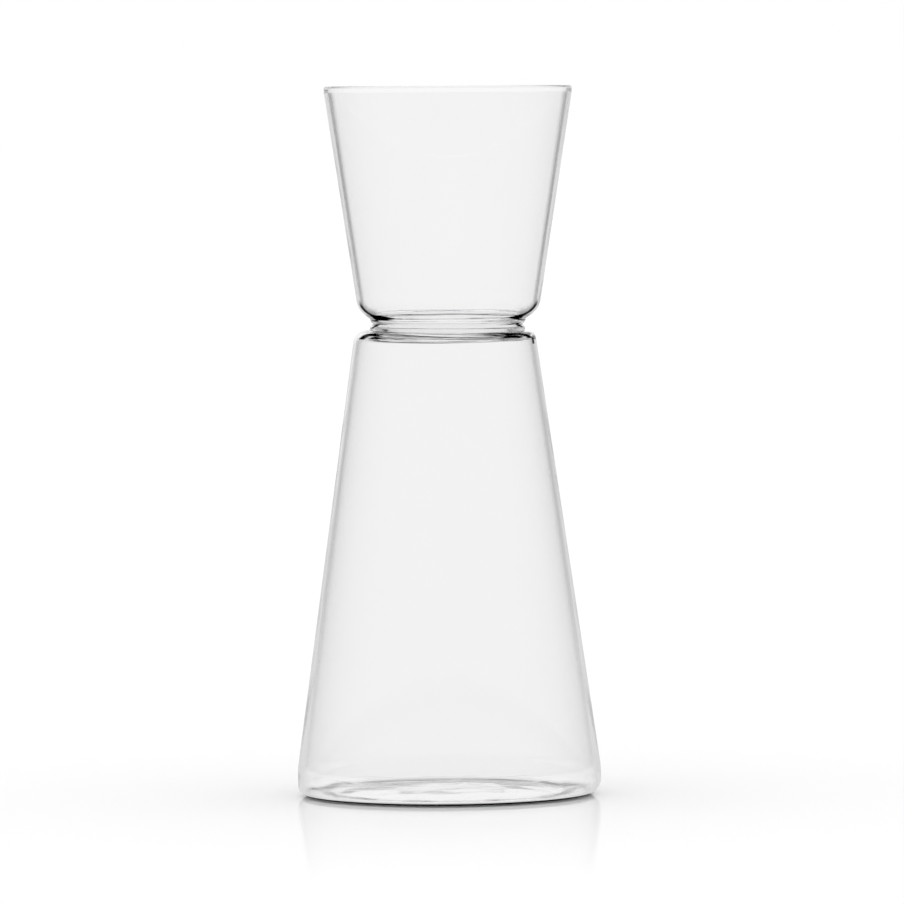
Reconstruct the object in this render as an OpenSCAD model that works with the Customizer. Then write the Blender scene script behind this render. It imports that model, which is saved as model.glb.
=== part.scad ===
// Clear glass pitcher: a tall conical body and a flared funnel, joined at a pinched waist.
// The glass sections are turned shapes about the Z axis, fused end to end at flat ring seams.
// Millimetres, +Z up, origin in the middle of the foot, on the table.

/* [Overall] */
// Height from the table to the top of the lip
total_h = 240; // [210:1:290]

/* [Base] */
// Outer diameter of the foot, the widest place of the pitcher
foot_d = 102.6; // [90:0.2:125]
// Height of the seam where the base is fused to the lower body
heel_h = 8; // [7:0.5:12]
// Outer radius of the rounded heel
heel_r = 4.2; // [3:0.1:7]
// How far the underside has risen off the table where the heel begins to round
heel_lift = 0.8; // [0.4:0.1:1.4]
// Inner radius between the floor and the wall
floor_corner_r = 3.4; // [2:0.1:6]
// Thickness of the floor
floor_t = 2; // [1.6:0.1:3]
// Outer diameter of the flat ring that touches the table
land_d = 85.2; // [78:0.2:88]
// Width of that ring
land_w = 3.2; // [2:0.2:6]
// Diameter of the raised middle of the floor
punt_d = 50; // [30:1:60]
// How far the middle of the underside is raised off the table
punt_rise = 1.4; // [0.6:0.1:2]

/* [Lower body] */
// Thickness of the conical wall
body_wall = 1.8; // [1.2:0.1:2.6]
// Length of upright wall between the base seam and the start of the cone
skirt_rise = 1.5; // [1:0.1:6]
// Radius that softens the change from the upright wall to the cone
skirt_r = 16; // [6:1:40]
// Height of the seam where the body is fused to its neck collar
body_top_h = 157.4; // [140:0.2:170]
// How far the shoulder stands out past the neck collar
shoulder_w = 4.25; // [3.5:0.05:8]
// Fall of the shoulder away from the waist, in degrees
shoulder_fall = 2; // [1:1:20]
// Outer radius of the rounded shoulder
shoulder_r = 3.8; // [3:0.1:6]
// Thickness of the glass on top of the shoulder
shoulder_wall = 1.95; // [1:0.05:2.6]

/* [Waist] */
// Outer diameter at the crease between the two collars, the narrowest place
crease_d = 50.5; // [44:0.1:56]
// Thickness of the glass between the crease and the throat, at its narrowest
waist_wall = 1.2; // [0.8:0.1:2]
// Thickness of the glass at the two ends of the throat
throat_end_wall = 1.15; // [0.9:0.05:1.5]
// Height of the straight part of the throat on each side of the crease
throat_straight_h = 0.35; // [0.2:0.05:0.8]
// Radius of the bend from there to the wider ends
throat_bend_r = 0.5; // [0.3:0.1:1]
// How far both collars bulge past the crease
collar_bulge = 0.95; // [0.6:0.05:1.6]
// Radius of the soft edge of each collar, towards the crease
collar_r = 1.1; // [0.5:0.1:1.6]
// Height of the collar on top of the body
body_collar_h = 2.2; // [1.8:0.1:5]
// Height of the collar under the funnel
funnel_collar_h = 1.6; // [1.4:0.05:5]
// Radius of the softened edges at both ends of the throat
throat_edge_r = 0.9; // [0.4:0.1:1.1]

/* [Funnel] */
// Outer diameter of the cone at the height of the lip
mouth_d = 84.3; // [74:0.1:100]
// How far the funnel's floor stands out past its neck collar
funnel_floor_w = 4.45; // [3.5:0.05:8]
// Thickness of the funnel's wall
funnel_wall = 1.2; // [1:0.05:2]
// Thickness of the funnel's sloping floor
funnel_floor_t = 1.2; // [1:0.1:2.2]
// Rise of the floor from the waist to the wall, in degrees
funnel_rise = 39; // [25:1:48]
// Outer radius of the rounded corner between floor and wall
funnel_corner_r = 7.4; // [4:0.2:9]

/* [Lip] */
// Height of the fire-polished lip above its seam
lip_h = 2; // [1.6:0.1:3]
// Thickness of the lip, a little more than the wall
lip_t = 1.45; // [1.3:0.05:1.7]

/* [Hidden] */

turn_facets = 128;
arc_steps = 8;
full_turn = 360;
half_turn = full_turn / 2;
wall_rgba = [0.85, 0.90, 0.90, 0.45];
thick_rgba = [0.74, 0.83, 0.84, 0.55];
// Most of a straight edge that one rounded corner may use up
edge_share = 0.95;
// Most of a collar's height that its sloping edge may use up
bead_share = 0.7;
// Radius of each lip corner as a share of the lip's thickness: nearly a full round
lip_round_share = 0.46;

// Radii and heights of the seams
foot_radius = foot_d / 2;
inner_foot_radius = foot_radius - body_wall;
crease_radius = crease_d / 2;
throat_radius = crease_radius - waist_wall;
collar_radius = crease_radius + collar_bulge;
throat_end_radius = collar_radius - throat_end_wall;
land_radius = land_d / 2;
crease_h = body_top_h + body_collar_h;
funnel_bottom_h = crease_h + funnel_collar_h;
lip_seam_h = total_h - lip_h;

// Outer corners of the body and the funnel before they are rounded
knee = [foot_radius, heel_h + skirt_rise];
shoulder = [collar_radius + shoulder_w, body_top_h - shoulder_w * tan(shoulder_fall)];
body_seam = [collar_radius, body_top_h];
funnel_seam = [collar_radius, funnel_bottom_h];
funnel_corner = [collar_radius + funnel_floor_w, funnel_bottom_h + funnel_floor_w * tan(funnel_rise)];
mouth = [mouth_d / 2, total_h];

up = [0, 1];
flat = [1, 0];

function unit(v) = v / norm(v);

// The normal on the left of a direction: towards the inside on an outline that climbs
function inward(v) = [-v.y, v.x];

// Where the line through p along u meets the line through q along v
function meet(p, u, q, v) =
    let (w = q - p)
    p + u * (w.x * v.y - w.y * v.x) / (u.x * v.y - u.y * v.x);

// Arc points that round the corner p between its neighbours a and b
function rounded_corner(a, p, b, wanted_r) =
    let (
        u = unit(a - p),
        v = unit(b - p),
        half = acos(u * v) / 2,
        reach = min(wanted_r / tan(half), edge_share * norm(a - p), edge_share * norm(b - p)),
        r = reach * tan(half),
        centre = p + unit(u + v) * r / sin(half),
        first = p + u * reach - centre,
        last = p + v * reach - centre,
        start = atan2(first.y, first.x),
        turn = atan2(last.y, last.x) - start,
        sweep = turn > half_turn ? turn - full_turn : turn < -half_turn ? turn + full_turn : turn
    )
    [for (i = [0:arc_steps])
        centre + r * [cos(start + sweep * i / arc_steps), sin(start + sweep * i / arc_steps)]];

// A closed outline from corners [point, radius]; a corner with no radius stays sharp
function outline(corners) =
    let (n = len(corners))
    [for (i = [0:n - 1])
        let (
            p = corners[i][0],
            a = corners[(i + n - 1) % n][0],
            b = corners[(i + 1) % n][0],
            r = corners[i][1]
        )
        each (r > 0 ? rounded_corner(a, p, b, r) : [p])];

module turned(corners) {
    rotate_extrude($fn = turn_facets) polygon(outline(corners));
}

// Walls of the lower body: lines parallel to the outside, a wall's thickness further in
cone_dir = unit(shoulder - knee);
shoulder_dir = unit(body_seam - shoulder);
inner_cone = shoulder + body_wall * inward(cone_dir);
inner_top = shoulder + shoulder_wall * inward(shoulder_dir);
inner_knee = meet([inner_foot_radius, 0], up, inner_cone, cone_dir);
inner_shoulder = meet(inner_cone, cone_dir, inner_top, shoulder_dir);
throat_low = meet([throat_end_radius, 0], up, inner_top, shoulder_dir);

// Walls of the funnel, found in the same way
floor_dir = unit(funnel_corner - funnel_seam);
wall_dir = unit(mouth - funnel_corner);
inner_floor = funnel_corner + funnel_floor_t * inward(floor_dir);
inner_wall = funnel_corner + funnel_wall * inward(wall_dir);
inner_corner = meet(inner_floor, floor_dir, inner_wall, wall_dir);
throat_high = meet([throat_end_radius, 0], up, inner_floor, floor_dir);
lip_outer = meet(mouth, wall_dir, [0, lip_seam_h], flat);
lip_inner = meet(inner_wall, wall_dir, [0, lip_seam_h], flat);

// Base: a thick floor, raised in the middle, with a rounded heel and a short upright wall
module base_disc() {
    land_inner = land_radius - land_w;
    punt_radius = punt_d / 2;
    color(thick_rgba) turned([
        [[0, punt_rise], 0],
        [[punt_radius, punt_rise], 0],
        [[land_inner, 0], 0],
        [[land_radius, 0], 0],
        [[foot_radius, heel_lift], heel_r],
        [[foot_radius, heel_h], 0],
        [[inner_foot_radius, heel_h], 0],
        [[inner_foot_radius, floor_t + heel_lift], floor_corner_r],
        [[land_radius, floor_t], 0],
        [[punt_radius, floor_t + punt_rise], 0],
        [[0, floor_t + punt_rise], 0],
    ]);
}

// Lower body: a tall cone with a rounded shoulder that turns in to the waist
module lower_body() {
    color(wall_rgba) turned([
        [[foot_radius, heel_h], 0],
        [knee, skirt_r],
        [shoulder, shoulder_r],
        [body_seam, 0],
        [[throat_end_radius, body_top_h], 0],
        [throat_low, throat_edge_r],
        [inner_shoulder, shoulder_r - shoulder_wall],
        [inner_knee, skirt_r],
        [[inner_foot_radius, heel_h], 0],
    ]);
}

// Body collar: the lower bead of the waist, from the shoulder up to the crease
module body_collar() {
    bead_h = min(collar_bulge, bead_share * body_collar_h);
    color(thick_rgba) turned([
        [body_seam, 0],
        [[collar_radius, crease_h - bead_h], collar_r],
        [[crease_radius, crease_h], 0],
        [[throat_radius, crease_h], 0],
        [[throat_radius, crease_h - throat_straight_h], throat_bend_r],
        [[throat_end_radius, body_top_h], 0],
    ]);
}

// Funnel collar: the upper bead of the waist, from the crease up to the funnel's floor
module funnel_collar() {
    bead_h = min(collar_bulge, bead_share * funnel_collar_h);
    color(thick_rgba) turned([
        [[crease_radius, crease_h], 0],
        [[collar_radius, crease_h + bead_h], collar_r],
        [funnel_seam, 0],
        [[throat_end_radius, funnel_bottom_h], 0],
        [[throat_radius, crease_h + throat_straight_h], throat_bend_r],
        [[throat_radius, crease_h], 0],
    ]);
}

// Funnel: a sloping floor, a rounded corner and a flared wall up to the lip
module upper_funnel() {
    color(wall_rgba) turned([
        [funnel_seam, 0],
        [funnel_corner, funnel_corner_r],
        [lip_outer, 0],
        [lip_inner, 0],
        [inner_corner, funnel_corner_r - funnel_wall],
        [throat_high, throat_edge_r],
        [[throat_end_radius, funnel_bottom_h], 0],
    ]);
}

// Lip: the fire-polished edge, a slightly thicker ring with a round top
module lip_bead() {
    wall_middle = (lip_outer.x + lip_inner.x) / 2;
    outer = wall_middle + lip_t / 2;
    inner = wall_middle - lip_t / 2;
    color(thick_rgba) turned([
        [lip_outer, 0],
        [[outer, total_h], lip_t * lip_round_share],
        [[inner, total_h], lip_t * lip_round_share],
        [lip_inner, 0],
    ]);
}

base_disc();
lower_body();
body_collar();
funnel_collar();
upper_funnel();
lip_bead();
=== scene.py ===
"""Looks of the clear glass pitcher: six turned glass sections, fused end to end.

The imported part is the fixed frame. Each of its nodes is replaced by a finer turned mesh of the
same section, dressed in clear glass, and stood on a white table in front of a white backdrop.
Lengths are metres in the frame of the part: +Z up, origin in the middle of the foot.
"""
from __future__ import annotations

import logging
import math
from dataclasses import dataclass, field
from enum import Enum
from typing import Any, Union

import bpy
from mathutils import Euler, Matrix, Vector


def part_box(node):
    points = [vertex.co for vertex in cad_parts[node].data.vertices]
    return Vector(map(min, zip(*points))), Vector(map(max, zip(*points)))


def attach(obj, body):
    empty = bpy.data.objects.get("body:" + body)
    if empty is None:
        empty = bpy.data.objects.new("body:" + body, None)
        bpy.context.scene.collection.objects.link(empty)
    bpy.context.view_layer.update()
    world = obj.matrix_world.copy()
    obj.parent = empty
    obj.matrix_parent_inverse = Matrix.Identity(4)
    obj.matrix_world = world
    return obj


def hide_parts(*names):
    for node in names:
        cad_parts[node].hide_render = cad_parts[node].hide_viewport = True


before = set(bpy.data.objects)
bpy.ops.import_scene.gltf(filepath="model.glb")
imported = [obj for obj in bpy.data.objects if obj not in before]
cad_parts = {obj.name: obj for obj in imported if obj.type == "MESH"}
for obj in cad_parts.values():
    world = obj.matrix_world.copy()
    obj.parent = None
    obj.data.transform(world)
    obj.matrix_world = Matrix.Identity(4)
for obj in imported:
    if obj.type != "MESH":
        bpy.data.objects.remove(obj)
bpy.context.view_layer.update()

log = logging.getLogger("pitcher")

MM = 0.001
FULL_TURN = 2 * math.pi
TURN_DEGREES = 360
TINY = 1e-9
BODY = "root"

WHITE = (1.0, 1.0, 1.0, 1.0)
PAINTED_SHADE_BLACK = (0.0, 0.0, 0.0, 1.0)

# The blend at which Layer Weight's Facing is 1 less the cosine of the skin's turn
FACING_BLEND = 0.5

# How often light may pass a glass wall, be mirrored, and pass a fused seam
WALL_BOUNCES = 24
MIRROR_BOUNCES = 12
SEAM_PASSES = 48

Socket = bpy.types.NodeSocket
Operand = Union["Value", float]


class Surface(Enum):
    """Which skin of the vessel an edge of an outline belongs to."""

    OUTSIDE = 0
    INSIDE = 1
    SEAM = 2


OUTSIDE, INSIDE, SEAM = Surface


class Nodes:
    """Adds nodes to one node tree, for shaders and for geometry alike."""

    def __init__(self, tree: bpy.types.NodeTree) -> None:
        """Keeps the tree.

        Args:
            tree: The tree that gets the nodes.
        """
        self.tree = tree

    def add(
        self,
        kind: str,
        settings: dict[str, Any] | None = None,
        sockets: dict[str | int, Any] | None = None,
    ) -> bpy.types.Node:
        """Adds one node, sets its settings, then fills or links its sockets.

        Args:
            kind: The node's type.
            settings: Properties of the node, set first.
            sockets: Values or links of its inputs, by name or number.

        Returns:
            The new node.
        """
        node = self.tree.nodes.new(kind)
        for name, setting in (settings or {}).items():
            setattr(node, name, setting)
        for name, given in (sockets or {}).items():
            self.feed(node.inputs[name], given)
        return node

    def feed(self, target: Socket, given: Any) -> None:
        """Links a socket, or sets its value.

        Args:
            target: The input.
            given: A Value, an output socket, or a plain value.
        """
        source = given.socket if isinstance(given, Value) else given
        if isinstance(source, bpy.types.NodeSocket):
            self.tree.links.new(source, target)
        else:
            target.default_value = source

    def value(self, socket: Socket) -> Value:
        """Wraps an output so that Python operators add Math nodes."""
        return Value(self, socket)

    def maths(self, operation: str, *operands: Operand) -> Value:
        """Adds one Math node.

        Args:
            operation: The Math node's operation.
            operands: Its inputs, in order.

        Returns:
            The result.
        """
        sockets = dict(enumerate(operands))
        node = self.add("ShaderNodeMath", {"operation": operation}, sockets)
        return self.value(node.outputs[0])

    def ramp(self, given: Operand, low: float, high: float, start: float, end: float) -> Value:
        """Maps a value smoothly from one span to another, held at both ends.

        Args:
            given: The value that is mapped.
            low: Where the span starts.
            high: Where the span ends.
            start: The result up to low.
            end: The result from high on.

        Returns:
            The mapped value.
        """
        settings = {"interpolation_type": "SMOOTHSTEP", "clamp": True}
        sockets = {0: given, 1: low, 2: high, 3: start, 4: end}
        return self.value(self.add("ShaderNodeMapRange", settings, sockets).outputs[0])

    def rise(self, given: Operand, at: float, soft: float) -> Value:
        """Goes from 0 to 1 where a value passes a place, softly by that much on each side."""
        return self.ramp(given, at - soft, at + soft, 0.0, 1.0)

    def fall(self, given: Operand, at: float, soft: float) -> Value:
        """Goes from 1 to 0 where a value passes a place, softly by that much on each side."""
        return self.ramp(given, at - soft, at + soft, 1.0, 0.0)

    def parts(self, vector: Socket) -> list[Value]:
        """The three numbers of a vector."""
        node = self.add("ShaderNodeSeparateXYZ", None, {0: vector})
        return [self.value(output) for output in node.outputs]


class Value:
    """One number in a node tree. Operators on it add Math nodes."""

    def __init__(self, nodes: Nodes, socket: Socket) -> None:
        """Wraps an output.

        Args:
            nodes: The tree's node maker.
            socket: The output that carries the number.
        """
        self.nodes = nodes
        self.socket = socket

    def __add__(self, other: Operand) -> Value:
        """Self plus other."""
        return self.nodes.maths("ADD", self, other)

    def __radd__(self, other: Operand) -> Value:
        """Other plus self."""
        return self.nodes.maths("ADD", other, self)

    def __sub__(self, other: Operand) -> Value:
        """Self minus other."""
        return self.nodes.maths("SUBTRACT", self, other)

    def __rsub__(self, other: Operand) -> Value:
        """Other minus self."""
        return self.nodes.maths("SUBTRACT", other, self)

    def __mul__(self, other: Operand) -> Value:
        """Self times other."""
        return self.nodes.maths("MULTIPLY", self, other)

    def __rmul__(self, other: Operand) -> Value:
        """Other times self."""
        return self.nodes.maths("MULTIPLY", other, self)

    def __truediv__(self, other: Operand) -> Value:
        """Self divided by other."""
        return self.nodes.maths("DIVIDE", self, other)

    def __rtruediv__(self, other: Operand) -> Value:
        """Other divided by self."""
        return self.nodes.maths("DIVIDE", other, self)

    def at_most(self, other: Operand) -> Value:
        """The lower of the two."""
        return self.nodes.maths("MINIMUM", self, other)

    def at_least(self, other: Operand) -> Value:
        """The higher of the two."""
        return self.nodes.maths("MAXIMUM", self, other)


def emptied(owner: bpy.types.Material | bpy.types.World) -> Nodes:
    """Gives a material or a world an empty node tree.

    Args:
        owner: The material or the world.

    Returns:
        The node maker of its tree.
    """
    owner.use_nodes = True
    owner.node_tree.nodes.clear()
    return Nodes(owner.node_tree)


@dataclass(frozen=True)
class Corner:
    """One corner of a section's outline, in the plane of the radius and the height.

    Args:
        radius: Distance from the axis.
        height: Height above the table.
        rounding: Radius of the arc that softens the corner, or 0.
        skin: What the edge from this corner to the next one is.
        lean: How far the corner moves on the +X side of the pitcher, as (radius, height).
        ease: How much larger the arc's radius is on the +X side.
    """

    radius: float
    height: float
    rounding: float = 0.0
    skin: Surface = Surface.OUTSIDE
    lean: tuple[float, float] = (0.0, 0.0)
    ease: float = 0.0

    def place(self, side: float) -> Vector:
        """The corner on one side: 1 is the +X side, -1 the other, 0 the mean."""
        return Vector((self.radius, self.height)) + side * Vector(self.lean)


@dataclass
class Outline:
    """A section's outline, made from corners with arcs, and split into short edges.

    Args:
        corners: The corners in order, with the glass on the left of each edge.
        closed: Whether the last corner is joined to the first.
        arc_step: Turn of an arc from one of its points to the next.
        fewest_steps: Number of steps that an arc has at least.
        longest_edge: Length up to which a straight edge stays whole.
        end_edge: Length of the first and the last piece of a split edge.
    """

    corners: list[Corner]
    closed: bool = True
    arc_step: float = math.radians(3.2)
    fewest_steps: int = 4
    longest_edge: float = 4 * MM
    end_edge: float = 0.15 * MM

    def places(self, side: float) -> list[Vector]:
        """The outline's points on one side of the pitcher.

        Args:
            side: 1 is the +X side, -1 the other, 0 the mean.

        Returns:
            The points in order.
        """
        return [point for point, _, _ in self.walk(side)]

    def neighbours(self, number: int) -> tuple[Corner, Corner, Corner]:
        """The corners around one, which is the middle of the three.

        Args:
            number: The corner's place in the list.

        Returns:
            The corner before it, itself, and the one after it.
        """
        count = len(self.corners)
        return (
            self.corners[(number - 1) % count],
            self.corners[number],
            self.corners[(number + 1) % count],
        )

    def arc(self, number: int, side: float) -> list[Vector]:
        """The points that stand for one corner: itself, or an arc.

        Args:
            number: The corner's place in the list.
            side: The side of the pitcher.

        Returns:
            One point or the arc's points.
        """
        before, corner, after = self.neighbours(number)
        spot = corner.place(side)
        if not corner.rounding:
            return [spot]
        mean = [c.place(0) for c in (before, corner, after)]
        opening = (mean[0] - mean[1]).angle(mean[2] - mean[1])
        steps = max(self.fewest_steps, math.ceil((math.pi - opening) / self.arc_step))
        back = (before.place(side) - spot).normalized()
        ahead = (after.place(side) - spot).normalized()
        half = back.angle(ahead) / 2
        rounding = corner.rounding + side * corner.ease
        centre = spot + (back + ahead).normalized() * rounding / math.sin(half)
        start = spot + back * rounding / math.tan(half) - centre
        end = spot + ahead * rounding / math.tan(half) - centre
        sweep = start.angle_signed(end)
        points = []
        for step in range(steps + 1):
            turned = start.copy()
            turned.rotate(Matrix.Rotation(-sweep * step / steps, 2))
            points.append(centre + turned)
        return points

    def walk(self, side: float) -> list[tuple[Vector, Surface, bool]]:
        """All points on one side with the skin of the edge that leaves each.

        Args:
            side: The side of the pitcher.

        Returns:
            Each point, the skin of its next edge, and whether it lies on an inside skin.
        """
        walked = []
        count = len(self.corners)
        arcs = [self.arc(i, side) for i in range(count)]
        for number, arc in enumerate(arcs):
            corner = self.corners[number]
            earlier = self.corners[(number - 1) % count]
            inside = INSIDE in (corner.skin, earlier.skin)
            walked += [(point, corner.skin, inside) for point in arc]
            if number == count - 1 and not self.closed:
                break
            if corner.skin is SEAM:
                continue
            gap = arcs[(number + 1) % count][0] - arc[-1]
            for share in self.shares(number):
                walked.append((arc[-1] + gap * share, corner.skin, inside))
        return walked

    def shares(self, number: int) -> list[float]:
        """Where the straight edge after a corner is split.

        Args:
            number: The corner's place in the list.

        Returns:
            Shares of the edge's mean length, or none where it is too short to be split.
        """
        count = len(self.corners)
        start = self.arc(number, 0)[-1]
        length = (self.arc((number + 1) % count, 0)[0] - start).length
        if length < 3 * self.end_edge:
            return []
        end = self.end_edge / length
        pieces = max(1, math.ceil(length / self.longest_edge))
        return [end + (1 - 2 * end) * i / pieces for i in range(pieces + 1)]

    def mesh(self, name: str) -> bpy.types.Mesh:
        """The outline as a mesh of points that carries what the lathe needs to know.

        Args:
            name: The mesh's name.

        Returns:
            Points in order, with the attributes lean, push, inside and seam.
        """
        mean = self.walk(0)
        right = self.places(1)
        points = [point for point, _, _ in mean]
        made = bpy.data.meshes.new(name)
        made.from_pydata([(p.x, 0.0, p.y) for p in points], [], [])
        kinds = {
            "lean": "FLOAT_VECTOR",
            "push": "FLOAT_VECTOR",
            "inside": "FLOAT",
            "seam": "BOOLEAN",
        }
        for label, kind in kinds.items():
            made.attributes.new(label, kind, "POINT")
        held = {label: made.attributes[label].data for label in kinds}
        for i, (point, skin, inside) in enumerate(mean):
            shift = right[i] - point
            normal = self.normal(mean, i) if inside else Vector((0.0, 0.0))
            held["lean"][i].vector = (shift.x, 0.0, shift.y)
            held["push"][i].vector = (normal.x, 0.0, normal.y)
            held["inside"][i].value = float(inside)
            held["seam"][i].value = skin is SEAM
        return made

    def normal(self, walked: list[tuple[Vector, Surface, bool]], number: int) -> Vector:
        """The direction square to the inside skin at a point, away from the glass.

        Args:
            walked: The outline's points.
            number: The point's place.

        Returns:
            A direction of length 1.
        """
        point, skin, _ = walked[number]
        before = number if walked[number - 1][1] is not INSIDE else number - 1
        after = number if skin is not INSIDE else (number + 1) % len(walked)
        along = walked[after][0] - walked[before][0]
        if along.length < TINY or point.x < TINY:
            return Vector((0.0, 1.0))
        return Vector((along.y, -along.x)).normalized()


class Lathe:
    """Geometry Nodes that turn an outline about the Z axis into a closed glass section.

    Attributes:
        facets: Number of faces round the axis.
        sharp_angle: Bend from which an edge is shaded sharp.
        merge_gap: Points closer together than this become one.
        row_guard: Added to an index, so that its row isn't rounded down to the one before.
        wave_detail: How ragged the waves of the inside skin are.
    """

    facets: int = 440
    sharp_angle: float = math.radians(24)
    merge_gap: float = 0.002 * MM
    row_guard: float = 0.25
    wave_detail: float = 1.0

    def __init__(self) -> None:
        """Builds the tree with its named inputs."""
        self.tree = bpy.data.node_groups.new("turn an outline", "GeometryNodeTree")
        self.tree.is_modifier = True
        self.nodes = Nodes(self.tree)
        self.sockets = {
            name: self.socket(name, kind)
            for name, kind in (
                ("Outline", "NodeSocketGeometry"),
                ("Facets", "NodeSocketInt"),
                ("Closed", "NodeSocketInt"),
                ("Wave height", "NodeSocketFloat"),
                ("Wave size", "NodeSocketFloat"),
                ("Seed", "NodeSocketFloat"),
                ("Glass", "NodeSocketMaterial"),
                ("Seam", "NodeSocketMaterial"),
            )
        }
        self.tree.interface.new_socket("Section", in_out="OUTPUT", socket_type="NodeSocketGeometry")
        self.wire()

    def socket(self, name: str, kind: str) -> str:
        """Adds one named input and gives its identifier."""
        return self.tree.interface.new_socket(name, in_out="INPUT", socket_type=kind).identifier

    def wire(self) -> None:
        """Joins the nodes: a grid whose rows are outline points and whose columns are turns."""
        add = self.nodes.add
        value = self.nodes.value
        given = add("NodeGroupInput").outputs
        outline = given["Outline"]
        count = value(add("GeometryNodeAttributeDomainSize", None, {0: outline}).outputs[0])
        facets = value(given["Facets"])
        per_row = facets + 1.0
        sockets = {"Vertices X": count + value(given["Closed"]), "Vertices Y": per_row}
        grid = add("GeometryNodeMeshGrid", None, sockets)
        index = value(add("GeometryNodeInputIndex").outputs[0])
        row = self.row(index, per_row)
        angle = (index - row * per_row) / facets * FULL_TURN
        point = self.nodes.maths("FLOORED_MODULO", row, count)
        sockets = {"Geometry": grid.outputs[0], "Position": self.place(given, point, angle)}
        placed = add("GeometryNodeSetPosition", None, sockets).outputs[0]
        face_row = self.row(index, facets)
        is_seam = self.sample(outline, self.named("seam", "BOOLEAN"), "BOOLEAN", face_row)
        within = self.sample(outline, self.named("inside", "FLOAT"), "FLOAT", point)
        marked = self.store(placed, "fused", "BOOLEAN", "FACE", is_seam)
        self.finish(given, self.store(marked, "inside", "FLOAT", "POINT", within))

    def row(self, index: Value, length: Value) -> Value:
        """The row of an index, with a guard against rounding down into the row before."""
        return self.nodes.maths("FLOOR", (index + self.row_guard) / length)

    def place(self, given: bpy.types.NodeOutputs, point: Value, angle: Value) -> Socket:
        """Where a point of the grid lies: an outline point, leaned, waved and turned.

        Args:
            given: The tree's inputs.
            point: The outline point's number.
            angle: How far it is turned from +X.

        Returns:
            The place.
        """
        value = self.nodes.value
        position = self.nodes.add("GeometryNodeInputPosition").outputs[0]
        held = (position, self.named("lean"), self.named("push"))
        spot, lean, push = (
            self.nodes.parts(self.sample(given["Outline"], each, "FLOAT_VECTOR", point))
            for each in held
        )
        cosine = self.nodes.maths("COSINE", angle)
        sine = self.nodes.maths("SINE", angle)
        radius = spot[0] + lean[0] * cosine
        height = spot[2] + lean[2] * cosine
        sockets = {
            "Vector": self.combine(radius * cosine, radius * sine, height),
            "W": given["Seed"],
            "Scale": 1.0 / value(given["Wave size"]),
            "Detail": self.wave_detail,
        }
        noise = self.nodes.add("ShaderNodeTexNoise", {"noise_dimensions": "4D"}, sockets)
        wave = (value(noise.outputs[0]) - 0.5) * value(given["Wave height"])
        radius = radius + push[0] * wave
        height = height + push[2] * wave
        return self.combine(radius * cosine, radius * sine, height)

    def finish(self, given: bpy.types.NodeOutputs, mesh: Socket) -> None:
        """Closes the turned skin, shades it and sets its materials.

        Args:
            given: The tree's inputs.
            mesh: The placed grid with its attributes.
        """
        add = self.nodes.add
        sockets = {"Geometry": mesh, "Distance": self.merge_gap}
        merged = add("GeometryNodeMergeByDistance", None, sockets)
        turned = add("GeometryNodeFlipFaces", None, {"Mesh": merged.outputs[0]})
        bend = add("GeometryNodeInputMeshEdgeAngle").outputs[0]
        sockets = {0: bend, 1: self.sharp_angle}
        soft = add("FunctionNodeCompare", {"operation": "LESS_THAN"}, sockets)
        sockets = {"Geometry": turned.outputs[0], "Shade Smooth": soft.outputs[0]}
        smooth = add("GeometryNodeSetShadeSmooth", {"domain": "EDGE"}, sockets)
        real = add("GeometryNodeRealizeInstances", None, {0: smooth.outputs[0]})
        sockets = {"Geometry": real.outputs[0], "Material": given["Glass"]}
        glass = add("GeometryNodeSetMaterial", None, sockets)
        sockets = {
            "Geometry": glass.outputs[0],
            "Selection": self.named("fused", "BOOLEAN"),
            "Material": given["Seam"],
        }
        seam = add("GeometryNodeSetMaterial", None, sockets)
        add("NodeGroupOutput", None, {0: seam.outputs[0]})

    def named(self, name: str, kind: str = "FLOAT_VECTOR") -> Socket:
        """A named attribute, as a field.

        Args:
            name: The attribute's name.
            kind: Its data type.

        Returns:
            The field.
        """
        settings = {"data_type": kind}
        node = self.nodes.add("GeometryNodeInputNamedAttribute", settings, {"Name": name})
        return node.outputs["Attribute"]

    def sample(self, outline: Socket, held: Socket, kind: str, number: Value) -> Socket:
        """Reads what one point of the outline holds.

        Args:
            outline: The outline's geometry.
            held: What is read.
            kind: Its data type.
            number: The point's number.

        Returns:
            What the point holds.
        """
        settings = {"data_type": kind, "domain": "POINT"}
        sockets = {"Geometry": outline, "Value": held, "Index": number}
        return self.nodes.add("GeometryNodeSampleIndex", settings, sockets).outputs[0]

    def store(self, mesh: Socket, name: str, kind: str, domain: str, held: Socket) -> Socket:
        """Writes an attribute on a mesh.

        Args:
            mesh: The mesh.
            name: The attribute's name.
            kind: Its data type.
            domain: What carries it: points or faces.
            held: What is written.

        Returns:
            The mesh with the attribute.
        """
        settings = {"data_type": kind, "domain": domain}
        sockets = {"Geometry": mesh, "Name": name, "Value": held}
        return self.nodes.add("GeometryNodeStoreNamedAttribute", settings, sockets).outputs[0]

    def combine(self, x: Value, y: Value, z: Value) -> Socket:
        """Three numbers as one vector."""
        return self.nodes.add("ShaderNodeCombineXYZ", None, {0: x, 1: y, 2: z}).outputs[0]

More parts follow.
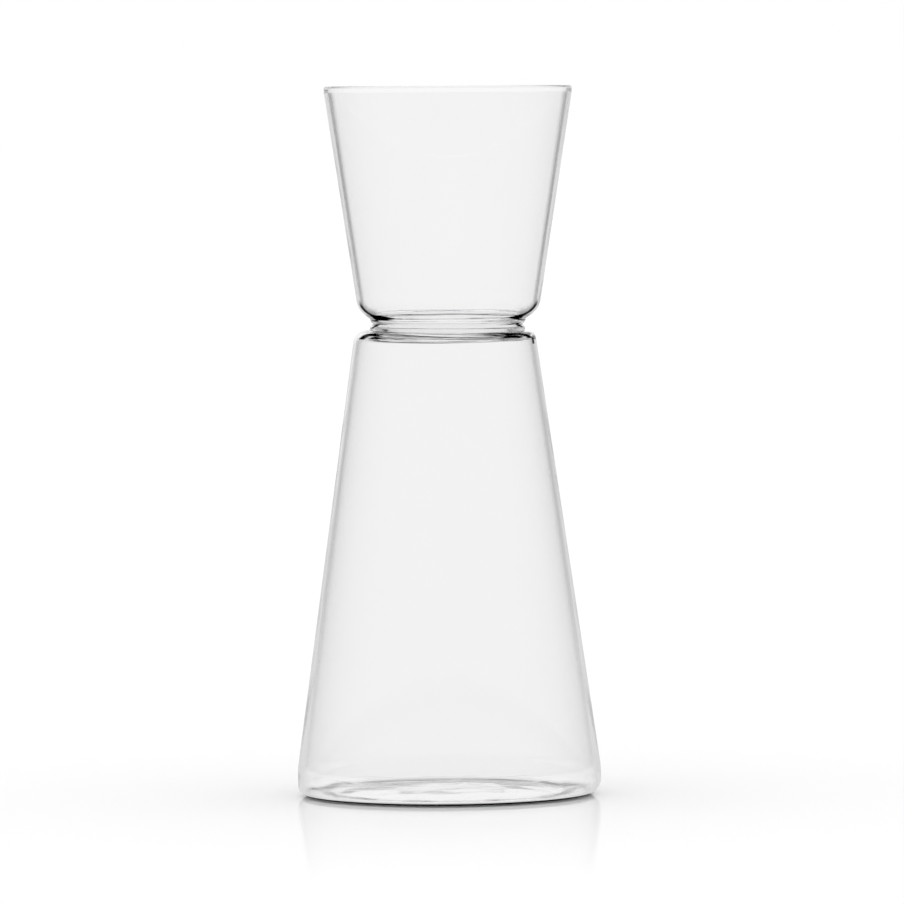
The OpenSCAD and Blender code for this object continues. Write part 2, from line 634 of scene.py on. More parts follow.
    def turn(self, name: str, outline: Outline, glass: Glass, waves: Waves) -> bpy.types.Object:
        """Turns one outline into a finished mesh.

        Args:
            name: The piece's name.
            outline: The section's outline.
            glass: The finish of the section.
            waves: The unevenness of the inside skin.

        Returns:
            The piece, with a plain mesh and no modifier.
        """
        piece = bpy.data.objects.new(name, outline.mesh(name + "_outline"))
        bpy.context.scene.collection.objects.link(piece)
        modifier = piece.modifiers.new("turn", "NODES")
        modifier.node_group = self.tree
        chosen = {
            "Facets": self.facets,
            "Closed": int(outline.closed),
            "Wave height": waves.height,
            "Wave size": waves.size,
            "Seed": waves.seed,
            "Glass": glass.material(),
            "Seam": fused_seam(),
        }
        for label, setting in chosen.items():
            modifier[self.sockets[label]] = setting
        bpy.context.view_layer.update()
        graph = bpy.context.evaluated_depsgraph_get()
        turned = bpy.data.meshes.new_from_object(piece.evaluated_get(graph))
        piece.modifiers.remove(modifier)
        piece.data = turned
        turned.name = name
        self.drop_empty_slots(turned)
        return piece

    def drop_empty_slots(self, mesh: bpy.types.Mesh) -> None:
        """Takes material slots without a material off a mesh, and keeps each face's finish.

        Args:
            mesh: The mesh.
        """
        wanted = [mesh.materials[face.material_index] for face in mesh.polygons]
        kept = [material for material in mesh.materials if material]
        mesh.materials.clear()
        for material in kept:
            mesh.materials.append(material)
        numbers = {material: number for number, material in enumerate(kept)}
        mesh.polygons.foreach_set("material_index", [numbers[material] for material in wanted])


@dataclass(frozen=True)
class Waves:
    """How uneven the inside skin is, as blown glass is.

    Args:
        height: Height of the waves from trough to crest.
        size: Distance over which they rise and fall.
        seed: Picks one pattern.
    """

    height: float = 0.05 * MM
    size: float = 30 * MM
    seed: float = 3.0


@dataclass(frozen=True)
class Shade:
    """A band of the waist's outside skin, painted black as shade where the skin turns away from the
    eye.

    How far a skin turns away from the eye runs from 0, facing it, to 1, edge on.

    Args:
        low: Height of its lower end.
        high: Height of its upper end.
        start: How far the skin turns away where the black begins, at the middle height.
        stop: How far it turns away where the black ends.
        slope: How much later it begins for each metre further up.
        point: How much later it begins for each metre away from the middle height.
        bias: How much later it begins on the +X side, and earlier on the other.
        soft: Half the change of the turn from clear to black.
        low_fade: Half the height over which the lower end fades out.
        high_fade: The same at the upper end.
    """

    low: float
    high: float
    start: float
    stop: float
    slope: float = 0.0
    point: float = 0.0
    bias: float = 0.0
    soft: float = 0.03
    low_fade: float = 0.12 * MM
    high_fade: float = 0.12 * MM

    def mask(self, nodes: Nodes, height: Value, away: Value, side: Value) -> Value:
        """How black a point is.

        Args:
            nodes: The tree's node maker.
            height: The point's height.
            away: How far its skin turns away from the eye.
            side: How far it is on the +X side, from -1 to 1.

        Returns:
            A value from 0 to 1.
        """
        above = height - (self.low + self.high) / 2
        later = above * self.slope + side * self.bias
        later = later + nodes.maths("ABSOLUTE", above) * self.point
        inner = nodes.rise(away - later, self.start, self.soft)
        outer = nodes.fall(away, self.stop, self.soft)
        lower = nodes.rise(height, self.low, self.low_fade)
        upper = nodes.fall(height, self.high, self.high_fade)
        return inner * outer * lower * upper


# Bands of painted black shade on the waist's outside skin
CUP_CORNER = Shade(162.3 * MM, 167.1 * MM, 0.7, 0.8, low_fade=0.3 * MM, high_fade=1.4 * MM)
NECK_TOP = Shade(161.05 * MM, 163.1 * MM, 0.56, 0.79, point=0.11 / MM, bias=0.05)
NECK_BEAD = Shade(160.9 * MM, 161.35 * MM, 0.56, 0.72)
NECK_CREASE = Shade(158.4 * MM, 160.0 * MM, 0.7, 0.79, low_fade=0.3 * MM)
SHOULDER_INNER = Shade(155.2 * MM, 156.2 * MM, 0.38, 0.52, slope=0.205 / MM, bias=-0.05)
SHOULDER_TOP = Shade(156.1 * MM, 157.0 * MM, 0.53, 0.72, slope=0.2 / MM, bias=-0.02)
SHOULDER_OUTER = Shade(154.9 * MM, 156.15 * MM, 0.58, 0.71)
SHOULDER_SIDE = Shade(152.9 * MM, 155.0 * MM, 0.9, 0.77, bias=-0.2, high_fade=0.3 * MM)
WAIST_SHADES = (
    CUP_CORNER,
    NECK_TOP,
    NECK_BEAD,
    NECK_CREASE,
    SHOULDER_INNER,
    SHOULDER_TOP,
    SHOULDER_OUTER,
    SHOULDER_SIDE,
)


@dataclass(frozen=True)
class ContactShadow:
    """A painted black contact shadow on the ring under the heel that lies against the table; it
    shows most where the skin turns away from the eye, as from low down.

    Args:
        inner: Its inner radius.
        outer: Its outer radius.
        soft: Half the width over which each of these borders fades.
        full: Height of the skin up to which it is dark.
        gone: Height of the skin from which it isn't.
        turn: How far the skin turns away where the ring begins to show, and shows fully.
        least: Share of the ring that shows where the skin faces the eye.
    """

    inner: float
    outer: float
    soft: float = 0.2 * MM
    full: float = 1.05 * MM
    gone: float = 1.3 * MM
    turn: tuple[float, float] = (0.28, 0.42)
    least: float = 0.1

    def mask(self, nodes: Nodes, place: Socket, height: Value, away: Value) -> Value:
        """How black a point is.

        Args:
            nodes: The tree's node maker.
            place: The point.
            height: The point's height.
            away: How far its skin turns away from the eye.

        Returns:
            A value from 0 to 1.
        """
        length = nodes.add("ShaderNodeVectorMath", {"operation": "LENGTH"}, {0: place})
        radius = nodes.value(length.outputs["Value"])
        beyond = nodes.rise(radius, self.inner, self.soft)
        short = nodes.fall(radius, self.outer, self.soft)
        low = nodes.ramp(height, self.full, self.gone, 1.0, 0.0)
        return beyond * short * low * nodes.ramp(away, *self.turn, self.least, 1.0)


@dataclass(frozen=True)
class Glass:
    """Clear, colourless glass.

    Args:
        name: The finish's name.
        slot: A material slot's name; not used.
        tint: Light that one skin lets through, for red, green and blue.
        clouding: How much the tint varies to each side.
        cloud_scale: Clouds in a metre.
        cloud_detail: How ragged the clouds are.
        ior: Index of refraction.
        edge: Share of painted black shade where the inside skin is seen edge on.
        edge_start: How far that skin turns away where the painted shade begins.
        edge_end: How far it turns away where the painted shade is full.
        shades: Where the outside skin is painted black as shade.
        reach: Radius of the waist.
        contact_shadow: The painted black contact shadow under the heel, if the section has one.
    """

    name: str
    slot: str
    tint: tuple[float, float, float] = (0.99, 0.99, 0.99)
    clouding: float = 0.004
    cloud_scale: float = 40.0
    cloud_detail: float = 2.0
    ior: float = 1.5
    edge: float = 0.0
    edge_start: float = 0.72
    edge_end: float = 0.9
    shades: tuple[Shade, ...] = WAIST_SHADES
    reach: float = 28 * MM
    contact_shadow: ContactShadow | None = None

    def material(self) -> bpy.types.Material:
        """Polished clear glass with a faintly clouded tint, mixed with painted black shade.

        Returns:
            The material.
        """
        made = bpy.data.materials.get(self.name)
        if made:
            return made
        made = bpy.data.materials.new(self.name)
        nodes = emptied(made)
        place = nodes.add("ShaderNodeTexCoord").outputs["Object"]
        sockets = {"Vector": place, "Scale": self.cloud_scale, "Detail": self.cloud_detail}
        cloud = nodes.add("ShaderNodeTexNoise", None, sockets).outputs[0]
        bright = tuple(min(1.0, part + self.clouding) for part in self.tint)
        dim = tuple(part - self.clouding for part in self.tint)
        sockets = {"Factor": cloud, "A": (*dim, 1.0), "B": (*bright, 1.0)}
        tint = nodes.add("ShaderNodeMix", {"data_type": "RGBA"}, sockets)
        sockets = {
            "IOR": self.ior,
            "Transmission Weight": 1.0,
            "Roughness": 0.0,
            "Base Color": tint.outputs["Result"],
        }
        clear = nodes.add("ShaderNodeBsdfPrincipled", None, sockets)
        # A black, matt finish that paints shade into the glass
        sockets = {"Base Color": PAINTED_SHADE_BLACK, "Roughness": 1.0, "Specular IOR Level": 0.0}
        black = nodes.add("ShaderNodeBsdfPrincipled", None, sockets)
        sockets = {0: self.dark(nodes, place), 1: clear.outputs[0], 2: black.outputs[0]}
        shader = nodes.add("ShaderNodeMixShader", None, sockets)
        nodes.add("ShaderNodeOutputMaterial", None, {"Surface": shader.outputs[0]})
        return made

    def dark(self, nodes: Nodes, place: Socket) -> Value:
        """How much painted black shade a point gets, by its skin, its height and how it turns away.

        Args:
            nodes: The tree's node maker.
            place: The point.

        Returns:
            A share from 0 to 1.
        """
        weight = nodes.add("ShaderNodeLayerWeight", None, {"Blend": FACING_BLEND})
        away = nodes.value(weight.outputs["Facing"])
        x, _, height = nodes.parts(place)
        side = x / self.reach
        skin = nodes.add("ShaderNodeAttribute", {"attribute_name": "inside"})
        inside = nodes.value(skin.outputs["Fac"])
        # Painted black shade where the inside skin is seen edge on
        within = nodes.ramp(away, self.edge_start, self.edge_end, 0.0, self.edge)
        # Painted black shade in bands of the outside skin, and the painted contact shadow
        masks = [shade.mask(nodes, height, away, side) for shade in self.shades]
        if self.contact_shadow:
            masks.append(self.contact_shadow.mask(nodes, place, height, away))
        without, *others = masks
        for other in others:
            without = without.at_least(other)
        return within * inside + without * (1.0 - inside)


# The base's finish carries the painted black contact shadow under the heel
BASE_GLASS = Glass("base glass", "glass_base", contact_shadow=ContactShadow(41.2 * MM, 50.2 * MM))
# edge is painted black shade where the inside skin is seen edge on
BODY_GLASS = Glass("body glass", "glass_body", edge=0.1)
WAIST_GLASS = Glass("waist glass", "glass_waist", tint=(0.91, 0.91, 0.918))
FUNNEL_GLASS = Glass("funnel glass", "glass_funnel", edge=0.92, edge_start=0.67, edge_end=0.86)
LIP_GLASS = Glass("lip glass", "glass_lip")


def fused_seam() -> bpy.types.Material:
    """The face where two sections are fused: nothing shows there.

    Returns:
        The material.
    """
    name = "fused seam"
    made = bpy.data.materials.get(name)
    if made:
        return made
    made = bpy.data.materials.new(name)
    nodes = emptied(made)
    shader = nodes.add("ShaderNodeBsdfPrincipled", None, {"Alpha": 0.0})
    nodes.add("ShaderNodeOutputMaterial", None, {"Surface": shader.outputs[0]})
    return made


@dataclass
class Levels:
    """Seam heights and outer radii of the vessel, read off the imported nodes."""

    foot: float = field(default_factory=lambda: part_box("base_disc")[1].x)
    heel_top: float = field(default_factory=lambda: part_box("base_disc")[1].z)
    body_top: float = field(default_factory=lambda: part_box("lower_body")[1].z)
    crease: float = field(default_factory=lambda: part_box("body_collar")[1].z)
    funnel_bottom: float = field(default_factory=lambda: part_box("funnel_collar")[1].z)
    collar: float = field(default_factory=lambda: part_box("body_collar")[1].x)
    lip_seam: float = field(default_factory=lambda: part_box("upper_funnel")[1].z)
    lip_outer: float = field(default_factory=lambda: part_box("upper_funnel")[1].x)
    top: float = field(default_factory=lambda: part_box("lip_bead")[1].z)
    lip_reach: float = field(default_factory=lambda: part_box("lip_bead")[1].x)


@dataclass
class Pitcher:
    """The six sections of the vessel. Sizes that the frame doesn't give are fields here.

    The hand-made vessel isn't quite round about one line: the waist and the cup stand a little to
    the right of the foot, and the shoulder slopes to the right. Each lean is how far a corner
    moves on the +X side, as (radius, height).
    """

    levels: Levels = field(default_factory=Levels)

    # The foot and its floor, which lies on a ring with a raised middle
    body_wall: float = 1.8 * MM
    heel_round: float = 4.2 * MM
    heel_ease: float = 0.7 * MM
    heel_lift: float = 0.8 * MM
    floor: float = 1.1 * MM
    floor_round: float = 3.0 * MM
    land_outer: float = 42.6 * MM
    land: float = 3.2 * MM
    land_round: float = 6 * MM
    punt_edge_round: float = 12 * MM
    punt: float = 22 * MM
    punt_rise: float = 1.4 * MM
    punt_round: float = 60 * MM

    # The cone and its shoulder
    skirt: float = 1.5 * MM
    skirt_round: float = 16 * MM
    shoulder_reach: float = 4.25 * MM
    shoulder_fall: float = math.radians(2)
    shoulder_round: float = 3.8 * MM
    shoulder_ease: float = -1.0 * MM
    shoulder_wall: float = 1.95 * MM
    ceiling_fall: float = math.radians(2)
    ceiling_round: float = 2.1 * MM

    # The two beads of the waist and the throat inside them
    waist_wall: float = 1.2 * MM
    collar_bulge: float = 0.95 * MM
    collar_round: float = 1.1 * MM
    throat_round: float = 0.9 * MM
    throat_follow: float = 1.0 * MM
    throat_land: float = 0.35 * MM
    throat_bend: float = 0.5 * MM

    # The funnel and its lip
    funnel_floor_reach: float = 4.45 * MM
    funnel_wall: float = 1.2 * MM
    funnel_rise: float = math.radians(39)
    funnel_round: float = 7.4 * MM
    rim_rise: float = 1.0 * MM
    bowl_rise: float = math.radians(30)
    bowl_round: float = 6.2 * MM
    lip: float = 1.45 * MM
    lip_round_share: float = 0.46
    lip_drop: float = 0.1 * MM
    lip_arc_step: float = math.radians(6)

    # How far each place leans
    shoulder_lean: tuple[float, float] = (-0.17 * MM, -0.6 * MM)
    body_seam_lean: tuple[float, float] = (0.6 * MM, -0.2 * MM)
    crease_lean: tuple[float, float] = (0.75 * MM, -0.2 * MM)
    funnel_seam_lean: tuple[float, float] = (0.9 * MM, 0.0 * MM)
    cup_lean: tuple[float, float] = (1.05 * MM, -0.1 * MM)
    lip_lean: tuple[float, float] = (1.43 * MM, -0.1 * MM)

    # How the sections are turned, and how uneven their inside skins are
    lathe: Lathe = field(default_factory=Lathe)
    waves: Waves = field(default_factory=Waves)
    floor_waves: Waves = field(default_factory=lambda: Waves(0.3 * MM, 12 * MM, 5.0))

    def __post_init__(self) -> None:
        """Works out the corners that two sections share."""
        at = self.levels
        self.inner_foot = at.foot - self.body_wall
        self.crease_radius = at.collar - self.collar_bulge
        self.throat = self.crease_radius - self.waist_wall
        self.throat_end = self.throat + self.throat_follow
        self.knee = Vector((at.foot, at.heel_top + self.skirt))
        self.shoulder = Vector(
            (
                at.collar + self.shoulder_reach,
                at.body_top - self.shoulder_reach * math.tan(self.shoulder_fall),
            )
        )
        self.body_seam = Vector((at.collar, at.body_top))
        self.funnel_seam = Vector((at.collar, at.funnel_bottom))
        self.funnel_corner = Vector(
            (
                at.collar + self.funnel_floor_reach,
                at.funnel_bottom + self.funnel_floor_reach * math.tan(self.funnel_rise),
            )
        )
        self.lip_outer = Vector((at.lip_outer, at.lip_seam - self.lip_drop))
        self.wall = (self.lip_outer - self.funnel_corner).normalized()
        self.inner_wall = self.funnel_corner + self.funnel_wall * _inward(self.wall)
        level = Vector((1.0, 0.0))
        self.lip_inner = _meet(self.inner_wall, self.wall, self.lip_outer, level)

    def base(self) -> Outline:
        """The floor with its raised middle, the rounded heel and the first upright wall.

        Returns:
            Its outline.
        """
        at = self.levels
        land_inner = self.land_outer - self.land
        return Outline(
            [
                Corner(0.0, self.punt_rise),
                Corner(self.punt, self.punt_rise, self.punt_round),
                Corner(land_inner, 0.0, self.punt_edge_round),
                Corner(self.land_outer, 0.0, self.land_round),
                Corner(at.foot, self.heel_lift, self.heel_round, ease=self.heel_ease),
                Corner(at.foot, at.heel_top, 0.0, SEAM),
                Corner(self.inner_foot, at.heel_top, 0.0, INSIDE),
                Corner(
                    self.inner_foot,
                    self.floor + self.heel_lift,
                    self.floor_round,
                    INSIDE,
                    ease=self.heel_ease,
                ),
                Corner(self.land_outer, self.floor, self.land_round, INSIDE),
                Corner(self.punt, self.floor + self.punt_rise, self.punt_round, INSIDE),
                Corner(0.0, self.floor + self.punt_rise, 0.0, INSIDE),
            ],
            closed=False,
        )

    def body(self) -> Outline:
        """The tall cone and its shoulder.

        Returns:
            Its outline.
        """
        at = self.levels
        cone = (self.shoulder - self.knee).normalized()
        inner_cone = self.shoulder + self.body_wall * _inward(cone)
        ceiling = self.body_seam - Vector((0.0, self.shoulder_wall))
        fall = Vector((math.cos(self.ceiling_fall), -math.sin(self.ceiling_fall)))
        up = Vector((0.0, 1.0))
        inner_knee = _meet(Vector((self.inner_foot, 0.0)), up, inner_cone, cone)
        inner_shoulder = _meet(inner_cone, cone, ceiling, fall)
        throat_low = _meet(Vector((self.throat_end, 0.0)), up, ceiling, fall)
        return Outline(
            [
                Corner(at.foot, at.heel_top),
                Corner(*self.knee, self.skirt_round),
                Corner(
                    *self.shoulder,
                    self.shoulder_round,
                    OUTSIDE,
                    self.shoulder_lean,
                    self.shoulder_ease,
                ),
                Corner(*self.body_seam, 0.0, SEAM, self.body_seam_lean),
                Corner(self.throat_end, at.body_top, 0.0, INSIDE, self.body_seam_lean),
                Corner(*throat_low, self.throat_round, INSIDE, self.body_seam_lean),
                Corner(
                    *inner_shoulder,
                    self.ceiling_round,
                    INSIDE,
                    self.shoulder_lean,
                    self.shoulder_ease,
                ),
                Corner(*inner_knee, self.skirt_round, INSIDE),
                Corner(self.inner_foot, at.heel_top, 0.0, SEAM),
            ]
        )

    def body_collar(self) -> Outline:
        """The lower bead of the waist, up to the crease.

        Returns:
            Its outline.
        """
        at = self.levels
        lean = self.crease_lean
        bead = Vector((at.collar, at.crease - self.collar_bulge))
        low = at.crease - self.throat_land
        return Outline(
            [
                Corner(*self.body_seam, lean=self.body_seam_lean),
                Corner(*bead, self.collar_round, lean=lean),
                Corner(self.crease_radius, at.crease, 0.0, SEAM, lean),
                Corner(self.throat, at.crease, 0.0, INSIDE, lean),
                Corner(self.throat, low, self.throat_bend, INSIDE, lean),
                Corner(self.throat_end, at.body_top, 0.0, SEAM, self.body_seam_lean),
            ]
        )

    def funnel_collar(self) -> Outline:
        """The upper bead of the waist, from the crease to the funnel.

        Returns:
            Its outline.
        """
        at = self.levels
        lean = self.crease_lean
        bead = Vector((at.collar, at.crease + self.collar_bulge))
        high = at.crease + self.throat_land
        return Outline(
            [
                Corner(self.crease_radius, at.crease, lean=lean),
                Corner(*bead, self.collar_round, lean=lean),
                Corner(*self.funnel_seam, 0.0, SEAM, self.funnel_seam_lean),
                Corner(self.throat_end, at.funnel_bottom, 0.0, INSIDE, self.funnel_seam_lean),
                Corner(self.throat, high, self.throat_bend, INSIDE, lean),
                Corner(self.throat, at.crease, 0.0, SEAM, lean),
            ]
        )

    def funnel(self) -> Outline:
        """The sloping floor, the rounded corner and the flared wall.

        Returns:
            Its outline.
        """
        at = self.levels
        throat_high = Vector((self.throat_end, at.funnel_bottom + self.rim_rise))
        rise = Vector((math.cos(self.bowl_rise), math.sin(self.bowl_rise)))
        inner_corner = _meet(self.inner_wall, self.wall, throat_high, rise)
        return Outline(
            [
                Corner(*self.funnel_seam, lean=self.funnel_seam_lean),
                Corner(*self.funnel_corner, self.funnel_round, OUTSIDE, self.cup_lean),
                Corner(*self.lip_outer, 0.0, SEAM, self.lip_lean),
                Corner(*self.lip_inner, 0.0, INSIDE, self.lip_lean),
                Corner(*inner_corner, self.bowl_round, INSIDE, self.cup_lean),
                Corner(*throat_high, self.throat_round, INSIDE, self.funnel_seam_lean),
                Corner(self.throat_end, at.funnel_bottom, 0.0, SEAM, self.funnel_seam_lean),
            ]
        )

    def lip_bead(self) -> Outline:
        """The fire-polished edge.

        Returns:
            Its outline.
        """
        at = self.levels
        top = at.top - self.lip_drop
        outer = at.lip_reach
        inner = outer - self.lip
        rounding = self.lip_round_share * self.lip
        return Outline(
            [
                Corner(*self.lip_outer, 0.0, OUTSIDE, self.lip_lean),
                Corner(outer, top, rounding, OUTSIDE, self.lip_lean),
                Corner(inner, top, rounding, OUTSIDE, self.lip_lean),
                Corner(*self.lip_inner, 0.0, SEAM, self.lip_lean),
            ],
            arc_step=self.lip_arc_step,
        )

    def build(self) -> list[bpy.types.Object]:
        """Turns, dresses and mounts every section.

        Returns:
            The pieces.
        """
        sections = (
            ("base_disc", self.base(), BASE_GLASS, self.floor_waves),
            ("lower_body", self.body(), BODY_GLASS, self.waves),
            ("body_collar", self.body_collar(), WAIST_GLASS, self.waves),
            ("funnel_collar", self.funnel_collar(), WAIST_GLASS, self.waves),
            ("upper_funnel", self.funnel(), FUNNEL_GLASS, self.waves),
            ("lip_bead", self.lip_bead(), LIP_GLASS, self.waves),
        )
        pieces = []
        for node, outline, glass, waves in sections:
            piece = self.lathe.turn(node + "_glass", outline, glass, waves)
            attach(piece, BODY)
            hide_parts(node)
            pieces.append(piece)
        return pieces


def _inward(direction: Vector) -> Vector:
    """The normal on the left of a direction: towards the inside on an outline that climbs."""
    return Vector((-direction.y, direction.x))


def _meet(p: Vector, u: Vector, q: Vector, v: Vector) -> Vector:
    """Where the line through p along u meets the line through q along v."""
    across = q - p
    return p + u * (across.x * v.y - across.y * v.x) / (u.x * v.y - u.y * v.x)


class LightPath:
    """What has happened to a ray of light on its way, as masks of 0 or 1."""

    def __init__(self, nodes: Nodes) -> None:
        """Adds the masks.

        Args:
            nodes: The tree's node maker.
        """
        outputs = nodes.add("ShaderNodeLightPath").outputs
        self.camera = nodes.value(outputs["Is Camera Ray"])
        bent = nodes.value(outputs["Transmission Depth"]).at_most(1.0)
        mirrored = nodes.value(outputs["Glossy Depth"]).at_most(1.0)
        scattered = nodes.value(outputs["Diffuse Depth"]).at_most(1.0)
        straight = 1.0 - scattered
        self.clear = straight * bent * (1.0 - mirrored)
        self.mirrored = straight * mirrored
        self.plain = (1.0 - self.camera) * (1.0 - self.clear - self.mirrored)


@dataclass(frozen=True)
class Room:
    """How bright the studio is in each direction, as mirrored light sees it.

    Args:
        stops: Pairs of an angle about the Z axis in degrees, from the backdrop's middle and
            towards +X, and a level.
    """

    stops: tuple[tuple[float, float], ...]

    def level(self, nodes: Nodes, place: Socket) -> Value:
        """The level in the direction of a place, seen from the axis.

        Args:
            nodes: The tree's node maker.
            place: A place or a direction.

        Returns:
            The level.
        """
        x, y, _ = nodes.parts(place)
        angle = nodes.maths("ARCTAN2", x, y)
        ramp = nodes.add("ShaderNodeValToRGB", None, {0: angle / FULL_TURN + 0.5})
        marks = ramp.color_ramp.elements
        while len(marks) < len(self.stops):
            marks.new(1.0)
        for mark, (degrees, level) in zip(marks, self.stops):
            mark.position = degrees / TURN_DEGREES + 0.5
            mark.color = (level, level, level, 1.0)
        return nodes.value(ramp.outputs[0])


@dataclass
class Backdrop:
    """The white backdrop behind the pitcher, in a darker studio.

    Args:
        white: Brightness of the backdrop.
        band: Sine of the height up to which light sees it fully bright.
        fade: Sine of the height from which it sees the dark ceiling.
        ceiling: Brightness of that ceiling.
        mirror_band: Sine of the height up to which mirrored light sees the studio.
        mirror_fade: Sine of the height from which mirrored light sees the dark ceiling.
        room: Brightness of the studio for mirrored light.
        fill: Plain level that lights the table.
    """

    white: float = 1.0
    band: float = 0.8
    fade: float = 0.92
    ceiling: float = 0.0
    mirror_band: float = 0.9
    mirror_fade: float = 0.99
    room: Room = Room(
        (
            (-180, 0.08),
            (-90, 0.12),
            (-60, 0.25),
            (-35, 0.5),
            (-25, 0.55),
            (-20, 1.0),
            (8, 1.0),
            (16, 0.75),
            (24, 0.55),
            (35, 0.5),
            (60, 0.25),
            (90, 0.12),
            (180, 0.08),
        )
    )
    fill: float = 1.03

    def build(self) -> None:
        """Sets the world."""
        world = bpy.data.worlds.new("backdrop")
        bpy.context.scene.world = world
        nodes = emptied(world)
        toward = nodes.add("ShaderNodeTexCoord").outputs["Generated"]
        rise = nodes.maths("ABSOLUTE", nodes.parts(toward)[2])
        path = LightPath(nodes)
        clear = nodes.ramp(rise, self.band, self.fade, self.white, self.ceiling)
        high = nodes.ramp(rise, self.mirror_band, self.mirror_fade, 1.0, self.ceiling)
        level = (
            path.camera * self.white
            + path.clear * clear
            + path.mirrored * self.room.level(nodes, toward) * high
            + path.plain * self.fill
        )
        light = nodes.add("ShaderNodeBackground", None, {"Color": level, "Strength": 1.0})
        nodes.add("ShaderNodeOutputWorld", None, {0: light.outputs[0]})


@dataclass
class Table:
    """The white, slightly glossy table.

    Args:
        foot: Radius of the pitcher's foot.
        radius: How far it reaches.
        white: Share of light that it gives back.
        grain: How much that share varies over the surface.
        grain_scale: Grains in a metre.
        grain_detail: How ragged the grains are.
        gloss: Share of the mirror image close to the foot.
        gloss_start: Distance from the axis up to which the mirror image is full.
        gloss_end: Distance from the axis at which the mirror image has faded out.
        gloss_roughness: Roughness of the mirror image.
        drop: Gap between the foot and the table.
        mirrored: Painted brightness that the table glows with for mirrored light.
        inner_shade: Painted shade under the middle of the foot, for light through the glass.
        ring_shade: Painted shadow where the foot touches, for light through the glass.
        ring: Where that painted shadow ring starts, is darkest, and ends, as shares of the foot's
            radius.
    """

    foot: float
    radius: float = 30.0
    white: float = 0.995
    grain: float = 0.008
    grain_scale: float = 240.0
    grain_detail: float = 3.0
    gloss: float = 0.3
    gloss_start: float = 0.06
    gloss_end: float = 0.36
    gloss_roughness: float = 0.03
    drop: float = 0.02 * MM
    mirrored: float = 0.72
    inner_shade: float = 0.92
    ring_shade: float = 0.0
    ring: tuple[float, float, float] = (0.82, 0.832, 0.844)

    def build(self) -> bpy.types.Object:
        """Makes the table top just under the foot.

        Returns:
            The table.
        """
        mesh = bpy.data.meshes.new("table")
        r = self.radius
        corners = [(x, y, -self.drop) for x, y in ((-r, -r), (r, -r), (r, r), (-r, r))]
        mesh.from_pydata(corners, [], [(0, 1, 2, 3)])
        table = bpy.data.objects.new("table", mesh)
        bpy.context.scene.collection.objects.link(table)
        mesh.materials.append(self.material())
        return table

    def material(self) -> bpy.types.Material:
        """White, with a mirror image that fades with the distance from the foot.
        Light through the glass or off a mirror sees a painted glow, with painted shade under the
        foot.

        Returns:
            The material.
        """
        made = bpy.data.materials.new("white table")
        nodes = emptied(made)
        place = nodes.add("ShaderNodeTexCoord").outputs["Object"]
        length = nodes.add("ShaderNodeVectorMath", {"operation": "LENGTH"}, {0: place})
        away = nodes.value(length.outputs["Value"])
        path = LightPath(nodes)
        gloss = nodes.ramp(away, self.gloss_start, self.gloss_end, self.gloss, 0.0)
        sockets = {"Vector": place, "Scale": self.grain_scale, "Detail": self.grain_detail}
        grain = nodes.add("ShaderNodeTexNoise", None, sockets)
        speckle = (nodes.value(grain.outputs[0]) - 0.5) * self.grain
        white = nodes.add("ShaderNodeBsdfDiffuse", None, {"Color": speckle + self.white})
        sockets = {"Roughness": self.gloss_roughness, "Color": WHITE}
        mirror = nodes.add("ShaderNodeBsdfGlossy", None, sockets)
        sockets = {0: gloss, 1: white.outputs[0], 2: mirror.outputs[0]}
        top = nodes.add("ShaderNodeMixShader", None, sockets)
        # Painted shade under the foot and a painted shadow ring where it touches, for light through
        # the glass
        start, darkest, end = (self.foot * share for share in self.ring)
        inner = nodes.ramp(away, start, darkest, self.inner_shade, self.ring_shade)
        outer = nodes.ramp(away, darkest, end, 0.0, 1.0 - self.ring_shade)
        # What the painted glow shows to light through the glass and to mirrored light
        seen = path.clear * (inner + outer) + path.mirrored * self.mirrored
        painted_glow = nodes.add("ShaderNodeEmission", None, {"Color": seen, "Strength": 1.0})
        sockets = {0: path.clear + path.mirrored, 1: top.outputs[0], 2: painted_glow.outputs[0]}
        whole = nodes.add("ShaderNodeMixShader", None, sockets)
        nodes.add("ShaderNodeOutputMaterial", None, {0: whole.outputs[0]})
        return made


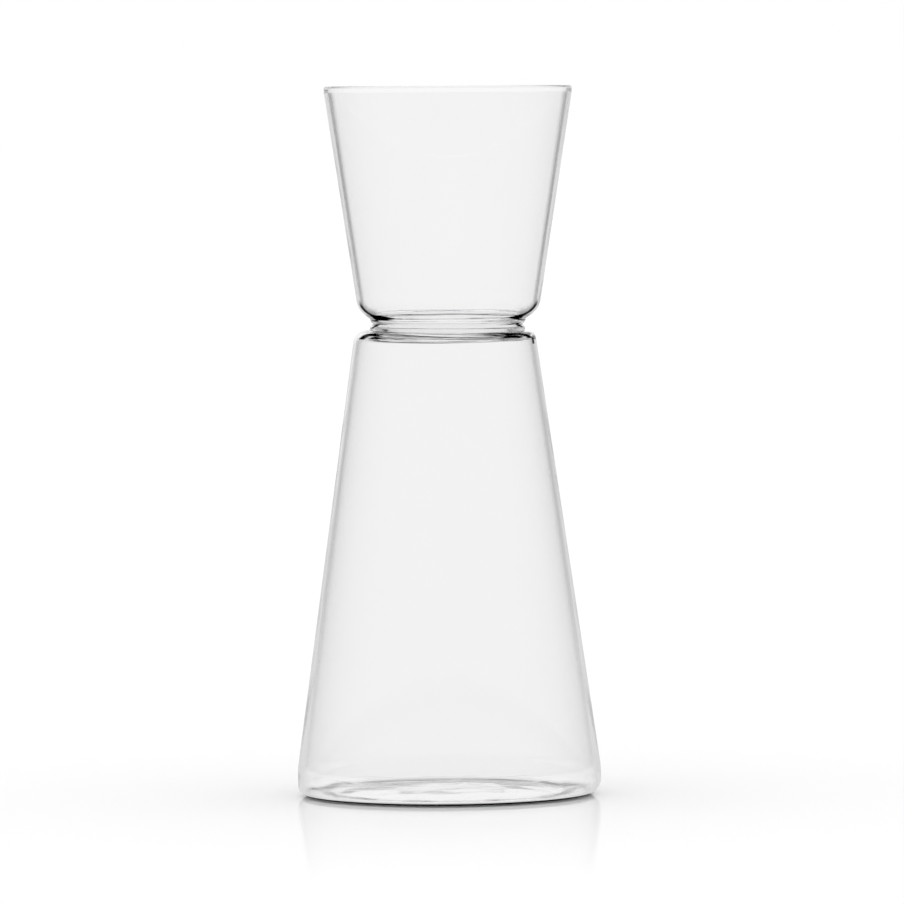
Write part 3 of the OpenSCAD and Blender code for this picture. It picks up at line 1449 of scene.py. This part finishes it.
@dataclass
class Camera:
    """The photograph's camera, level with the lip and far away.

    Args:
        lip_height: Height of the lip, which the camera is level with.
        picture: Width and height of the picture in pixels.
        foot_y_px: Where the middle of the foot is in the picture.
        lip_y_px: Where the lip's plane is seen edge-on.
        axis_x_px: Where the pitcher's axis is, at mid height.
        focal_px: Focal length in pixels.
        roll: How far the pitcher leans to the left in the picture.
        sensor: Width of the sensor, in Blender's own millimetres.
        near: Nearest distance that is seen.
        far: Farthest distance that is seen.
    """

    lip_height: float
    picture: int = 904
    foot_y_px: float = 796.0
    lip_y_px: float = 85.5
    axis_x_px: float = 443.45
    focal_px: float = 8070.0
    roll: float = math.radians(0.5)
    sensor: float = 36.0
    near: float = 0.05
    far: float = 100.0

    def build(self) -> bpy.types.Object:
        """Makes the camera and sets it as the scene's.

        Returns:
            The camera.
        """
        metres_per_px = self.lip_height / (self.foot_y_px - self.lip_y_px)
        lens = bpy.data.cameras.new("camera")
        lens.sensor_width = self.sensor
        lens.lens = self.sensor * self.focal_px / self.picture
        lens.clip_start = self.near
        lens.clip_end = self.far
        camera = bpy.data.objects.new("camera", lens)
        bpy.context.scene.collection.objects.link(camera)
        middle = self.picture / 2
        dip = math.atan((middle - self.lip_y_px) / self.focal_px)
        camera.location = (
            (middle - self.axis_x_px) * metres_per_px,
            -self.focal_px * metres_per_px,
            self.lip_height,
        )
        camera.rotation_euler = Euler((math.pi / 2 - dip, self.roll, 0.0))
        bpy.context.scene.camera = camera
        return camera


def set_light_paths() -> None:
    """Lets light pass through the many glass walls, and keeps the plain view transform."""
    scene = bpy.context.scene
    scene.view_settings.view_transform = "Standard"
    scene.cycles.max_bounces = WALL_BOUNCES
    scene.cycles.transmission_bounces = WALL_BOUNCES
    scene.cycles.glossy_bounces = MIRROR_BOUNCES
    scene.cycles.transparent_max_bounces = SEAM_PASSES


def main() -> None:
    """Builds the pitcher, the table, the light and the camera."""
    logging.basicConfig(level=logging.INFO, format="%(name)s: %(message)s")
    pitcher = Pitcher()
    for piece in pitcher.build():
        log.info("%s: %d faces", piece.name, len(piece.data.polygons))
    Backdrop().build()
    table = Table(pitcher.levels.foot).build()
    camera = Camera(pitcher.levels.top).build()
    log.info("%s: the stage, seen by the %s", table.name, camera.name)
    set_light_paths()


if __name__ == "__main__":
    main()
